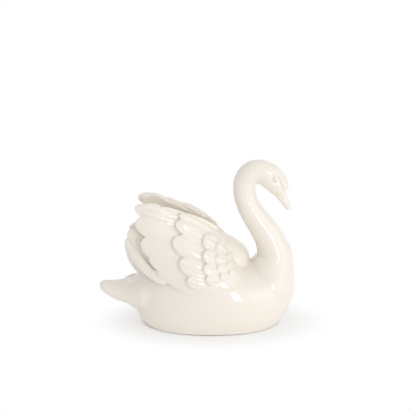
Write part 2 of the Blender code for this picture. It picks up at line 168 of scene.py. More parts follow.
def add_node(
    tree: bpy.types.NodeTree,
    kind: str,
    settings: dict[str, object] | None = None,
    **inputs: object,
) -> bpy.types.Node:
    """Adds a node with its settings and links.

    Args:
        tree: The node tree.
        kind: The node's type.
        settings: Properties of the node itself.
        inputs: Socket names, with _ for a space, or in0, in1 for the first,
            second and so on. A socket is linked, any other value is set.

    Returns:
        The new node.
    """
    node = tree.nodes.new(kind)
    for name, value in (settings or {}).items():
        setattr(node, name, value)
    for name, value in inputs.items():
        numbered = name.startswith("in") and name[2:].isdigit()
        key: int | str = int(name[2:]) if numbered else name.replace("_", " ")
        socket = node.inputs[key]
        if isinstance(value, bpy.types.NodeSocket):
            tree.links.new(value, socket)
        else:
            socket.default_value = value
    return node


@dataclass
class ClayModel:
    """The overlapping shapes of the model, in millimetres, as one mesh."""

    mesh: bmesh.types.BMesh = field(default_factory=bmesh.new)
    bump_rings: int = 20
    bump_segments: int = 32
    # How far along a tube its direction is read, as a share of its length
    tube_step: float = 0.01

    def press_in(self, shape: bmesh.types.BMesh) -> None:
        """Adds a finished shape to the model and frees it.

        Args:
            shape: The shape, closed and in millimetres.
        """
        bmesh.ops.recalc_face_normals(shape, faces=shape.faces[:])
        carried = bpy.data.meshes.new("shape")
        shape.to_mesh(carried)
        shape.free()
        self.mesh.from_mesh(carried)
        bpy.data.meshes.remove(carried)

    def add_ball(self, rings: int, segments: int, place: Placing) -> None:
        """Adds a closed ball and moves its points.

        Args:
            rings: Rings of faces from pole to pole.
            segments: Faces in each ring.
            place: Says where the ball's points go.
        """
        ball = bmesh.new()
        made = bmesh.ops.create_uvsphere(
            ball, u_segments=segments, v_segments=rings, radius=1.0
        )
        verts = made["verts"]
        points = np.array([vert.co for vert in verts])
        height = np.arccos(np.clip(points[:, 2], -1.0, 1.0)) / math.pi
        reach = np.hypot(points[:, 0], points[:, 1])
        at_pole = reach < NEARLY_ZERO
        reach[at_pole] = 1.0
        along = np.where(at_pole, 0.0, points[:, 0] / reach)
        across = np.where(at_pole, 0.0, points[:, 1] / reach)
        for vert, point in zip(verts, place(height, along, across)):
            vert.co = point
        self.press_in(ball)

    def add_tube(self, sections: Rows, rings: int, segments: int) -> None:
        """Adds a closed tube of oval sections around a line in the XZ plane.

        Args:
            sections: x, z, half thickness and half width.
            rings: Rings of faces along the tube.
            segments: Faces around it.
        """

        def place(
            height: np.ndarray, along: np.ndarray, across: np.ndarray
        ) -> np.ndarray:
            """Draws the ball out along the tube.

            Args:
                height: The points' heights on the ball, 0 at the upper pole.
                along: The cosines of their angles round the poles.
                across: The sines of those angles.

            Returns:
                Where the points go.
            """
            x, z, half_thick, half_width = smooth_rows(sections, height).T
            run = smooth_rows(sections, height + self.tube_step)
            run -= smooth_rows(sections, height - self.tube_step)
            length = np.hypot(run[:, 0], run[:, 1])
            up_x = -run[:, 1] / length
            up_z = run[:, 0] / length
            return with_xyz(
                x + up_x * half_thick * along,
                half_width * across,
                z + up_z * half_thick * along,
            )

        self.add_ball(rings, segments, place)

    def add_bump(self, bump: Row, side: Side) -> None:
        """Adds one rounded detail.

        Args:
            bump: x, y, z, half lengths along, across and through, and how far
                its long axis is turned down from +X, in degrees.
            side: The side of the swan.
        """
        x, y, z, half_long, half_wide, half_deep, down = bump
        turn = math.radians(down)

        def place(
            height: np.ndarray, along: np.ndarray, across: np.ndarray
        ) -> np.ndarray:
            """Squeezes and turns the ball into the bump.

            Args:
                height: The points' heights on the ball, 0 at the upper pole.
                along: The cosines of their angles round the poles.
                across: The sines of those angles.

            Returns:
                Where the points go.
            """
            pole = np.cos(height * math.pi) * half_long
            ring = np.sin(height * math.pi)
            deep = ring * along * half_deep
            return with_xyz(
                x + math.cos(turn) * pole + math.sin(turn) * deep,
                side.value * y + ring * across * half_wide,
                z - math.sin(turn) * pole + math.cos(turn) * deep,
            )

        self.add_ball(self.bump_rings, self.bump_segments, place)


@dataclass
class Body:
    """The hull of the swan with its tail and the back between the wings."""

    # Level slices: height, rear end, widest place, front end, half width,
    # fullness (2 is an ellipse)
    slices: Rows = (
        (-4.0, 4.0, 6.0, 8.0, 0.0, 2.3),
        (-3.6, -16.0, 6.0, 31.0, 16.5, 2.3),
        (-1.5, -23.4, 6.0, 38.2, 20.4, 2.3),
        (0.0, -26.0, 6.0, 40.4, 21.7, 2.3),
        (3.0, -29.2, 6.0, 43.0, 23.3, 2.25),
        (6.0, -31.2, 7.0, 45.4, 24.4, 2.2),
        (10.0, -32.4, 8.0, 47.8, 25.3, 2.1),
        (15.0, -33.0, 9.0, 49.6, 25.8, 2.0),
        (20.5, -33.0, 9.0, 49.6, 25.5, 1.85),
        (25.0, -31.5, 8.0, 46.5, 24.4, 1.75),
        (29.0, -28.5, 6.0, 38.5, 21.6, 1.65),
        (32.0, -24.0, 4.0, 29.0, 17.0, 1.7),
        (34.0, -18.0, 2.0, 20.0, 12.0, 1.8),
        (35.0, -8.0, 1.0, 10.0, 6.0, 1.9),
        (35.2, 0.0, 1.0, 2.0, 0.0, 1.9),
    )
    # Sections of the tail and of the back: x, z, half height, half width
    tail: Rows = (
        (-50.3, 19.6, 0.0, 0.0),
        (-49.8, 19.5, 1.4, 2.4),
        (-48.4, 19.0, 2.6, 4.2),
        (-46.0, 18.1, 3.5, 5.6),
        (-43.0, 17.1, 4.5, 6.8),
        (-39.0, 16.4, 5.5, 8.5),
        (-35.0, 16.2, 6.5, 10.6),
        (-31.0, 16.0, 8.8, 13.0),
        (-26.0, 16.4, 11.0, 15.2),
        (-18.0, 17.4, 10.5, 15.0),
        (-12.0, 18.0, 0.0, 0.0),
    )
    back: Rows = (
        (-35.2, 46.2, 0.0, 0.0),
        (-34.2, 45.9, 3.6, 3.4),
        (-31.0, 42.6, 7.8, 5.8),
        (-25.0, 37.0, 11.8, 9.8),
        (-17.0, 34.0, 14.0, 14.0),
        (-8.0, 34.0, 15.6, 16.6),
        (2.0, 34.0, 15.6, 16.0),
        (12.0, 31.0, 15.0, 14.5),
        (19.0, 25.5, 12.0, 10.5),
        (26.0, 20.0, 0.0, 0.0),
    )
    rings: int = 72
    segments: int = 96

    def build(self, clay: ClayModel) -> None:
        """Presses the hull, the tail and the back into the model.

        Args:
            clay: The model.
        """

        def place(
            height: np.ndarray, along: np.ndarray, across: np.ndarray
        ) -> np.ndarray:
            """Makes each ring of the ball a level slice of the hull.

            Args:
                height: The points' heights on the ball, 0 at the upper pole.
                along: The cosines of their angles round the poles.
                across: The sines of those angles.

            Returns:
                Where the points go.
            """
            row = smooth_rows(self.slices, height).T
            z, rear, widest, front, half_width, fullness = row
            reach = np.where(along > 0, front - widest, widest - rear)
            x = widest + reach * signed_power(along, 2 / fullness)
            return with_xyz(x, half_width * signed_power(across, 2 / fullness), z)

        clay.add_ball(self.rings, self.segments, place)
        clay.add_tube(self.tail, self.rings, self.segments)
        clay.add_tube(self.back, self.rings, self.segments)


@dataclass
class NeckAndHead:
    """The neck, the head and the bill, with the knob, brows and eyes."""

    # Sections along the neck and the bill: x, z, half thickness, half width
    neck: Rows = (
        (35.8, 8.0, 0.0, 0.0),
        (36.0, 13.0, 11.6, 14.0),
        (36.5, 19.5, 13.3, 16.6),
        (37.2, 25.2, 12.9, 15.6),
        (38.1, 29.4, 11.7, 13.0),
        (38.9, 33.0, 10.4, 10.6),
        (39.2, 36.6, 9.3, 9.1),
        (38.0, 41.0, 8.2, 8.2),
        (35.8, 45.9, 7.4, 7.4),
        (32.2, 51.4, 6.75, 6.8),
        (28.1, 57.5, 6.15, 6.3),
        (25.1, 63.4, 5.75, 5.9),
        (23.6, 69.2, 5.65, 5.8),
        (24.0, 74.2, 5.75, 5.7),
        (26.5, 78.0, 6.0, 5.6),
        (30.2, 79.4, 6.1, 5.5),
        (34.1, 78.4, 6.2, 5.4),
        (37.6, 75.9, 6.3, 5.2),
        (40.3, 72.5, 5.6, 4.6),
        (42.0, 69.5, 4.3, 3.6),
        (43.2, 67.4, 0.0, 0.0),
    )
    bill: Rows = (
        (38.3, 74.8, 0.0, 0.0),
        (39.2, 73.2, 2.6, 2.4),
        (40.9, 70.3, 3.6, 3.0),
        (42.0, 68.0, 3.1, 3.0),
        (43.1, 65.6, 2.4, 2.8),
        (44.4, 63.3, 1.95, 2.7),
        (45.6, 61.5, 1.7, 2.6),
        (46.4, 60.3, 1.2, 2.0),
        (46.7, 59.8, 0.0, 0.0),
    )
    # x, y, z, half lengths along, across and through, degrees down from +X
    knob: Row = (43.0, 0.0, 73.1, 3.5, 2.3, 2.2, 64.0)
    brow: Row = (41.7, 3.4, 76.3, 3.4, 1.2, 0.8, 67.0)
    eye: Row = (39.2, 4.5, 76.3, 1.5, 1.2, 1.05, 42.0)
    rings: int = 140
    segments: int = 48

    def build(self, clay: ClayModel) -> None:
        """Presses the neck, the head and its details into the model.

        Args:
            clay: The model.
        """
        clay.add_tube(self.neck, self.rings, self.segments)
        clay.add_tube(self.bill, self.rings // 2, self.segments)
        clay.add_bump(self.knob, Side.RIGHT)
        for side in Side:
            clay.add_bump(self.brow, side)
            clay.add_bump(self.eye, side)


@dataclass
class FeatherRow:
    """A row of feathers that lie on a wing."""

    # Tip x, tip z, root x, root z, half width and bend, which is how far the
    # middle lies below the straight line
    feathers: Rows
    # How deep the roots lie, and how far the tips stand out
    sink: float
    step: float
    # Depth of the ridges along each feather, and the distance between two
    ridge_depth: float = 0.12
    ridge_spacing: float = 2.2


def feather_outline(t: np.ndarray) -> np.ndarray:
    """The half width of a feather.

    Args:
        t: Places from the root, 0, to the tip, 1.

    Returns:
        Shares of its largest half width.
    """
    root_share = 0.1
    swell_share = 0.6
    root_width = 0.62
    roundness = 6
    root = np.minimum(1.0, t / root_share) ** 0.5
    swell = np.sin(0.5 * math.pi * np.minimum(1.0, t / swell_share))
    width = root_width + (1.0 - root_width) * swell
    return root * width * np.maximum(0.0, 1.0 - t**roundness) ** 0.5


def feather_ridges(
    t: np.ndarray, off_middle: np.ndarray, depth: float, spacing: float
) -> np.ndarray:
    """How far the ridges along a feather raise its face.

    Args:
        t: Places from the root, 0, to the tip, 1.
        off_middle: Distances from the middle line.
        depth: Depth of the ridges.
        spacing: Distance between two ridges.

    Returns:
        Heights, which run out at the root and at the tip.
    """
    root_share = 0.25
    tip_share = 0.12
    shown = np.clip(t / root_share, 0.0, 1.0)
    shown *= np.clip((1.0 - t) / tip_share, 0.0, 1.0)
    return depth * shown * np.cos(2 * math.pi * off_middle / spacing)


@dataclass
class Wing:
    """One raised wing with its rows of feathers."""

    side: Side
    # The crest: x, z, distance from the middle plane
    crest: Rows = (
        (-33.0, 62.8, 11.2),
        (-30.5, 65.0, 11.2),
        (-27.0, 66.6, 11.2),
        (-22.7, 67.0, 11.2),
        (-18.6, 65.5, 11.1),
        (-14.6, 63.0, 10.8),
        (-10.6, 60.8, 10.3),
        (-4.5, 59.0, 9.3),
        (-0.5, 57.2, 8.4),
        (3.5, 55.0, 7.6),
        (8.0, 52.6, 6.6),
        (12.0, 49.8, 5.6),
        (15.6, 46.6, 4.2),
        (19.6, 41.4, 2.6),
        (23.0, 37.2, 1.4),
        (26.0, 33.4, 0.8),
        (30.0, 30.0, 0.6),
        (36.0, 26.0, 0.5),
    )
    # Where the wing leaves the flank: x, distance from the middle plane
    flank: Rows = (
        (-38.0, 13.0),
        (-30.0, 15.9),
        (-24.0, 18.0),
        (-18.0, 20.2),
        (-12.0, 22.4),
        (-4.0, 24.6),
        (4.0, 25.6),
        (11.0, 25.2),
        (18.0, 23.7),
        (24.0, 21.4),
        (30.0, 18.2),
        (36.0, 13.8),
    )
    flank_height: float = 24.0
    # The least height over which the outer face leans in towards the crest, and
    # how far to each side the face is read to find which way it looks
    least_rise: float = 5.0
    face_step: float = 0.4
    # The lower edge of the plate and the points of the crest over it: x, z
    plate_lower: Rows = (
        (32.0, 20.0),
        (26.0, 20.0),
        (18.0, 20.5),
        (8.0, 21.5),
        (-3.0, 22.5),
        (-11.0, 25.0),
        (-15.8, 29.5),
        (-20.3, 36.0),
        (-24.8, 43.5),
    )
    plate_upper: Rows = (
        (31.0, 28.5),
        (26.0, 33.0),
        (20.0, 40.6),
        (13.0, 48.8),
        (5.0, 54.0),
        (-4.0, 58.6),
        (-13.0, 62.0),
        (-21.0, 65.9),
        (-28.8, 64.6),
    )
    plate_thickness: float = 2.4
    plate_columns: int = 60
    plate_rows: int = 36
    feather_thickness: float = 2.2
    # The thickness of a feather near its tip, as a share of its square, how late
    # it thins, and how blunt its edges are (1 is an ellipse, less is blunter)
    tip_thickness: float = 0.45
    tip_thinning: int = 10
    edge_bluntness: float = 0.7
    free_edge_bluntness: float = 0.8
    # From the crest to the shoulder
    rows: tuple[FeatherRow, ...] = (
        FeatherRow(
            (
                (-31.0, 63.6, 6.0, 50.8, 4.8, -0.6),
                (-30.6, 56.6, 4.0, 43.6, 6.4, -0.4),
                (-28.0, 46.8, 6.0, 34.2, 6.6, 0.6),
                (-23.8, 39.4, 6.0, 29.4, 5.0, 1.0),
                (-19.4, 32.8, 4.0, 26.0, 4.4, 1.2),
            ),
            sink=1.6,
            step=0.5,
            ridge_depth=0.06,
            ridge_spacing=2.9,
        ),
        FeatherRow(
            (
                (-28.5, 65.0, -8.6, 58.6, 1.3, -0.7),
                (-27.0, 61.3, -9.6, 56.2, 1.3, -0.4),
            ),
            sink=0.3,
            step=1.1,
            ridge_depth=0.0,
        ),
        FeatherRow(
            (
                (-9.0, 59.8, 12.0, 48.8, 2.7, -0.3),
                (-10.6, 56.0, 12.0, 45.2, 3.7, 0.0),
                (-11.7, 48.6, 10.0, 38.0, 5.0, 0.4),
                (-8.3, 38.8, 12.0, 31.4, 4.8, 1.0),
                (-4.6, 30.2, 12.0, 26.6, 4.0, 1.0),
            ),
            sink=2.2,
            step=2.0,
            ridge_depth=0.17,
            ridge_spacing=2.5,
        ),
        FeatherRow(
            (
                (-8.4, 59.2, 9.0, 51.0, 1.2, -0.5),
                (-8.8, 56.0, 6.0, 49.4, 1.0, -0.3),
            ),
            sink=1.2,
            step=2.4,
            ridge_depth=0.0,
        ),
        FeatherRow(
            (
                (3.2, 48.6, 16.0, 41.8, 3.7, 0.2),
                (3.0, 41.8, 17.0, 37.4, 3.3, 0.4),
                (3.2, 36.0, 17.0, 33.0, 3.0, 0.6),
                (4.6, 30.8, 17.0, 29.2, 2.7, 0.6),
            ),
            sink=1.8,
            step=1.5,
            ridge_depth=0.22,
        ),
        FeatherRow(
            (
                (9.8, 45.2, 19.0, 39.6, 2.9, 0.2),
                (9.4, 40.2, 19.0, 36.2, 2.5, 0.2),
                (10.2, 35.8, 19.5, 33.2, 2.3, 0.2),
                (11.6, 32.0, 20.0, 30.4, 2.1, 0.2),
            ),
            sink=1.6,
            step=1.3,
            ridge_depth=0.2,
        ),
        FeatherRow(
            (
                (15.2, 40.0, 22.0, 35.6, 2.0, 0.1),
                (15.0, 36.6, 22.5, 33.4, 1.9, 0.1),
                (16.0, 33.2, 23.0, 31.2, 1.8, 0.1),
            ),
            sink=1.4,
            step=1.0,
            ridge_depth=0.0,
        ),
    )
    # Feathers under the wing, and small ones on the root of the tail: tip x, y,
    # z, root x, y, z, half width, bend
    under_feathers: Rows = (
        (-31.6, 4.4, 50.8, -11.0, 13.0, 34.0, 3.4, 0.8),
        (-33.3, 4.8, 50.5, -12.2, 14.2, 32.0, 3.6, 1.1),
        (-34.7, 5.2, 49.2, -13.5, 15.5, 30.0, 3.2, 1.4),
        (-35.8, 6.6, 45.8, -15.5, 19.2, 26.0, 2.8, 2.0),
    )
    tail_feathers: Rows = (
        (-38.5, 3.2, 20.2, -27.0, 6.0, 22.8, 2.2, -0.2),
        (-36.0, 7.6, 18.4, -25.0, 12.0, 20.6, 2.2, -0.2),
    )
    under_thickness: float = 3.4
    under_ridge_depth: float = 0.25
    tail_feather_thickness: float = 1.8
    tail_ridge_depth: float = 0.1
    free_ridge_spacing: float = 2.4
    # How far a feather reaches into the plate that it lies on
    feather_bed: float = 0.4
    # Fillings where the wing meets the rump and the back: x, y, z, half lengths
    # along, across and through, degrees down from +X
    fillings: Rows = (
        (-16.8, 15.8, 29.8, 4.8, 3.2, 3.4, 40.0),
        (12.5, 15.6, 31.8, 5.5, 3.4, 3.2, 20.0),
    )
    # Below the top of the fade the feathers sink into the flank
    fade_top: float = 34.0
    fade_height: float = 10.0
    fade_depth: float = 1.6
    fade_curve: float = 1.5
    rings: int = 56
    segments: int = 56

    def lean(self, x: np.ndarray, z: np.ndarray) -> np.ndarray:
        """How far the outer face lies from the middle plane.

        Args:
            x: Places along the swan.
            z: Heights.

        Returns:
            Distances from the middle plane.
        """
        crest_height = smooth_value(self.crest, x, 1)
        top = smooth_value(self.crest, x, 2)
        foot = smooth_value(self.flank, x, 1)
        room = np.maximum(crest_height - self.flank_height, self.least_rise)
        rise = (z - self.flank_height) / room
        return top + (foot - top) * np.cos(0.5 * math.pi * np.clip(rise, 0.0, 1.0))

    def on_face(self, x: np.ndarray, z: np.ndarray, lift: np.ndarray) -> np.ndarray:
        """Points over the outer face.

        Args:
            x: Their places along the swan.
            z: Their heights.
            lift: How far they stand out from the face.

        Returns:
            The points.
        """
        step = self.face_step
        y = self.lean(x, z)
        by_x = (self.lean(x + step, z) - self.lean(x - step, z)) / (2 * step)
        by_z = (self.lean(x, z + step) - self.lean(x, z - step)) / (2 * step)
        out = unit(with_xyz(-by_x, np.ones_like(x), -by_z))
        points = with_xyz(x, y, z) + out * np.reshape(lift, (-1, 1))
        points[:, 1] *= self.side.value
        return points

    def build_plate(self, clay: ClayModel) -> None:
        """Adds the plate that the feathers lie on.

        Args:
            clay: The model.
        """
        bm = bmesh.new()
        made = bmesh.ops.create_grid(
            bm, x_segments=self.plate_columns, y_segments=self.plate_rows, size=1.0
        )
        verts = made["verts"]
        flat = np.array([vert.co for vert in verts])
        u = 0.5 * (flat[:, 0] + 1.0)
        v = 0.5 * (flat[:, 1] + 1.0)
        low = smooth_rows(self.plate_lower, u)
        high = smooth_rows(self.plate_upper, u)
        place = low + (high - low) * v[:, None]
        bed = np.full(len(verts), -0.5 * self.feather_thickness)
        for vert, point in zip(verts, self.on_face(place[:, 0], place[:, 1], bed)):
            vert.co = point
        faces = list({face for vert in verts for face in vert.link_faces})
        bmesh.ops.recalc_face_normals(bm, faces=faces)
        outward = sum(face.normal.y * face.calc_area() for face in faces)
        if outward * self.side.value < 0:
            bmesh.ops.reverse_faces(bm, faces=faces)
        bmesh.ops.solidify(bm, geom=faces, thickness=self.plate_thickness)
        clay.press_in(bm)

    def build_feather(self, clay: ClayModel, feather: Row, row: FeatherRow) -> None:
        """Adds a feather that lies on the outer face.

        Args:
            clay: The model.
            feather: The feather's place and size.
            row: The row that it belongs to.
        """
        tip_x, tip_z, root_x, root_z, half_width, bend = feather
        length = math.hypot(tip_x - root_x, tip_z - root_z)
        away_x = -(tip_z - root_z) / length
        away_z = (tip_x - root_x) / length
        half = 0.5 * self.feather_thickness

        def place(
            height: np.ndarray, along: np.ndarray, across: np.ndarray
        ) -> np.ndarray:
            """Flattens the ball into the feather and lays it on the face.

            Args:
                height: The points' heights on the ball, 0 at the upper pole.
                along: The cosines of their angles round the poles.
                across: The sines of those angles.

            Returns:
                Where the points go.
            """
            t = 1.0 - height
            off_middle = half_width * feather_outline(t) * along
            reach = off_middle + 4.0 * bend * t * (1.0 - t)
            x = root_x + (tip_x - root_x) * t + away_x * reach
            z = root_z + (tip_z - root_z) * t + away_z * reach
            lift = (row.sink + row.step) * t - row.sink - half
            thinned = np.maximum(self.tip_thickness, 1.0 - t**self.tip_thinning)
            full = half * thinned**0.5
            under = np.maximum(full, lift + half + self.feather_bed)
            full = np.where(across < 0, under, full)
            low = np.clip((self.fade_top - z) / self.fade_height, 0.0, 1.0)
            lift -= self.fade_depth * low**self.fade_curve
            ridges = feather_ridges(t, off_middle, row.ridge_depth, row.ridge_spacing)
            lift += ridges * np.clip(across, 0.0, 1.0)
            lift += full * signed_power(across, self.edge_bluntness)
            return self.on_face(x, z, lift)

        clay.add_ball(self.rings, self.segments, place)

    def build_free_feather(
        self, clay: ClayModel, feather: Row, thickness: float, depth: float
    ) -> None:
        """Adds a feather that runs between two points in space.

        Args:
            clay: The model.
            feather: Its ends, half width and bend.
            thickness: Its thickness.
            depth: Depth of the ridges along it.
        """
        tip = np.array(feather[0:3])
        root = np.array(feather[3:6])
        half_width, bend = feather[6:8]
        run = (tip - root) / np.linalg.norm(tip - root)
        out = np.array((0.0, 1.0, 0.0))
        out -= run * out.dot(run)
        out /= np.linalg.norm(out)
        down = np.cross(run, out)
        down *= -np.sign(down[2])

        def place(
            height: np.ndarray, along: np.ndarray, across: np.ndarray
        ) -> np.ndarray:
            """Flattens the ball into the feather between its ends.

            Args:
                height: The points' heights on the ball, 0 at the upper pole.
                along: The cosines of their angles round the poles.
                across: The sines of those angles.

            Returns:
                Where the points go.
            """
            t = 1.0 - height
            off_middle = half_width * feather_outline(t) * along
            lift = 0.5 * thickness * signed_power(across, self.free_edge_bluntness)
            ridges = feather_ridges(t, off_middle, depth, self.free_ridge_spacing)
            lift += ridges * np.clip(across, 0.0, 1.0)
            points = root + np.outer(t, tip - root)
            points += np.outer(off_middle + 4.0 * bend * t * (1.0 - t), down)
            points += np.outer(lift, out)
            points[:, 1] *= self.side.value
            return points

        clay.add_ball(self.rings, self.segments, place)

    def build(self, clay: ClayModel) -> None:
        """Presses the whole wing into the model.

        Args:
            clay: The model.
        """
        self.build_plate(clay)
        for filling in self.fillings:
            clay.add_bump(filling, self.side)
        for row in self.rows:
            for feather in row.feathers:
                self.build_feather(clay, feather, row)
        free = (
            (self.under_feathers, self.under_thickness, self.under_ridge_depth),
            (self.tail_feathers, self.tail_feather_thickness, self.tail_ridge_depth),
        )
        for feathers, thickness, depth in free:
            for feather in feathers:
                self.build_free_feather(clay, feather, thickness, depth)


@dataclass(frozen=True)
class Groove:
    """A soft line scratched into both sides of the model with a loop tool."""

    # x and z of the line's points
    path: Rows
    width: float
    depth: float
    # Only the skin farther than this from the middle plane is scratched
    beyond: float = 0.0

    def sink(self, points: np.ndarray) -> np.ndarray:
        """How deep the skin sinks.

        Args:
            points: Points of the skin, in millimetres.

        Returns:
            A depth for each point.
        """
        line = np.asarray(self.path, float)
        flat = points[:, [0, 2]]
        nearest = np.full(len(points), np.inf)
        for start, end in zip(line[:-1], line[1:]):
            run = end - start
            share = np.clip((flat - start) @ run / (run @ run), 0.0, 1.0)
            away = np.linalg.norm(flat - start - share[:, None] * run, axis=1)
            nearest = np.minimum(nearest, away)
        kept = np.abs(points[:, 1]) >= self.beyond
        return np.where(kept, self.depth * np.exp(-((nearest / self.width) ** 2)), 0.0)


def oval(x: float, z: float, half_long: float, half_high: float, down: float) -> Rows:
    """Points of a closed oval line.

    Args:
        x: Its middle along the swan.
        z: Its middle's height.
        half_long: Half its long axis.
        half_high: Half its short axis.
        down: How far the long axis is turned down from +X, in degrees.

    Returns:
        x and z of its points.
    """
    steps = 24
    turn = math.radians(down)
    points = []
    for step in range(steps + 1):
        angle = 2 * math.pi * step / steps
        along = half_long * math.cos(angle)
        up = half_high * math.sin(angle)
        points.append(
            (
                x + along * math.cos(turn) + up * math.sin(turn),
                z - along * math.sin(turn) + up * math.cos(turn),
            )
        )
    return tuple(points)


@dataclass(frozen=True)
class GlazedPorcelain:
    """White porcelain under a clear glossy glaze.

    The clay is cast and fired almost white. The glaze over it is thicker in the
    folds, where it looks darker and warmer, and thin on edges and ridges, where
    the white shows through. The darker folds are also painted shade, the shade
    that falls in the creases. It shines like glass and is slightly wavy, so the
    edges of reflections wander. The foot is wiped clean of glaze and is matt.
    """

    glaze: str = "F4EDE2"
    # The colour in the folds: partly pooled glaze, partly painted shade where shade
    # falls in the creases
    pooled_and_shaded: str = "CDBFA8"
    thin: str = "F9F4EC"
    foot: str = "EFE9E0"
    glaze_roughness: float = 0.035
    glaze_index: float = 1.52
    clay_roughness: float = 0.5
    clay_index: float = 1.5
    foot_roughness: float = 0.75
    # How much light enters the clay and how far it wanders: in all, and by red,
    # green and blue
    entering: float = 0.12
    depth_mm: float = 1.2
    depth_by_colour: tuple[float, float, float] = (1.0, 0.75, 0.5)
    # The sizes of the glaze's unevenness
    wave_mm: float = 9.0
    wave_height_mm: float = 0.08
    wave_detail: float = 1.0
    pit_mm: float = 1.1
    pit_height_mm: float = 0.004
    # The fold depths at which the glaze starts to gather and is gathered in
    # full, and with it the painted shade of the folds. It thins over the same heights
    # of a ridge
    faint_fold: float = 0.05
    full_fold: float = 0.9
    # How the tone of the clay drifts, and how high the wiped edge of the foot is
    tone_mm: float = 26.0
    darkest_tone: float = 0.985
    lightest_tone: float = 1.01
    foot_edge_mm: float = 0.35

    def make(self) -> bpy.types.Material:
        """Mixes the material.

        Returns:
            The material, which reads object coordinates and the fold attribute.
        """
        material = bpy.data.materials.new("glazed_porcelain")
        material.use_nodes = True
        tree = material.node_tree
        tree.nodes.clear()
        place = add_node(tree, "ShaderNodeTexCoord").outputs["Object"]

        # Glaze gathers in the folds and thins on the ridges. The folds are also
        # darkened with painted shade
        fold = add_node(
            tree, "ShaderNodeAttribute", {"attribute_name": "fold"}
        ).outputs["Fac"]
        pool_and_shade_share, thinned = (
            add_node(
                tree,
                "ShaderNodeMapRange",
                {"interpolation_type": "SMOOTHSTEP"},
                Value=fold,
                From_Min=way * self.faint_fold,
                From_Max=way * self.full_fold,
            ).outputs[0]
            for way in (1, -1)
        )

        # The tone of the clay drifts a little over the figure
        drift = add_node(
            tree, "ShaderNodeTexNoise", Vector=place, Scale=1 / (self.tone_mm * MM)
        )
        tone = add_node(
            tree,
            "ShaderNodeMapRange",
            Value=drift.outputs[0],
            To_Min=self.darkest_tone,
            To_Max=self.lightest_tone,
        ).outputs[0]

        # The foot is wiped bare
        height = add_node(tree, "ShaderNodeSeparateXYZ", Vector=place).outputs[2]
        bare = add_node(
            tree,
            "ShaderNodeMapRange",
            Value=height,
            From_Min=self.foot_edge_mm * MM,
            From_Max=0.0,
        ).outputs[0]
        roughness = add_node(
            tree,
            "ShaderNodeMapRange",
            Value=bare,
            To_Min=self.clay_roughness,
            To_Max=self.foot_roughness,
        )
        glaze_left = add_node(
            tree, "ShaderNodeMath", {"operation": "SUBTRACT"}, in0=1.0, in1=bare
        )

        # One colour over the other
        layers: tuple[tuple[str, object, object], ...] = (
            # Folds darken to the pooled colour: partly pooled glaze, partly painted
            # shade
            ("MIX", pool_and_shade_share, srgb(self.pooled_and_shaded)),
            ("MIX", thinned, srgb(self.thin)),
            ("MULTIPLY", 1.0, tone),
            ("MIX", bare, srgb(self.foot)),
        )
        colour: object = srgb(self.glaze)
        for blend, share, layer in layers:
            colour = add_node(
                tree,
                "ShaderNodeMix",
                {"data_type": "RGBA", "blend_type": blend},
                in0=share,
                in6=colour,
                in7=layer,
            ).outputs[2]

        # Waves and small pits in the glaze
        waves = add_node(
            tree,
            "ShaderNodeTexNoise",
            Vector=place,
            Scale=1 / (self.wave_mm * MM),
            Detail=self.wave_detail,
        )
        wavy = add_node(
            tree,
            "ShaderNodeBump",
            Height=waves.outputs[0],
            Distance=self.wave_height_mm * MM,
            Strength=1.0,
        )
        pits = add_node(
            tree, "ShaderNodeTexNoise", Vector=place, Scale=1 / (self.pit_mm * MM)
        )
        uneven = add_node(
            tree,
            "ShaderNodeBump",
            Height=pits.outputs[0],
            Distance=self.pit_height_mm * MM,
            Strength=1.0,
            Normal=wavy.outputs[0],
        )
        shader = add_node(
            tree,
            "ShaderNodeBsdfPrincipled",
            {"subsurface_method": "RANDOM_WALK"},
            Base_Color=colour,
            Metallic=0.0,
            Roughness=roughness.outputs[0],
            IOR=self.clay_index,
            Subsurface_Weight=self.entering,
            Subsurface_Radius=self.depth_by_colour,
            Subsurface_Scale=self.depth_mm * MM,
            Coat_Weight=glaze_left.outputs[0],
            Coat_Roughness=self.glaze_roughness,
            Coat_IOR=self.glaze_index,
            Coat_Normal=uneven.outputs[0],
        )
        add_node(tree, "ShaderNodeOutputMaterial", Surface=shader.outputs[0])
        return material


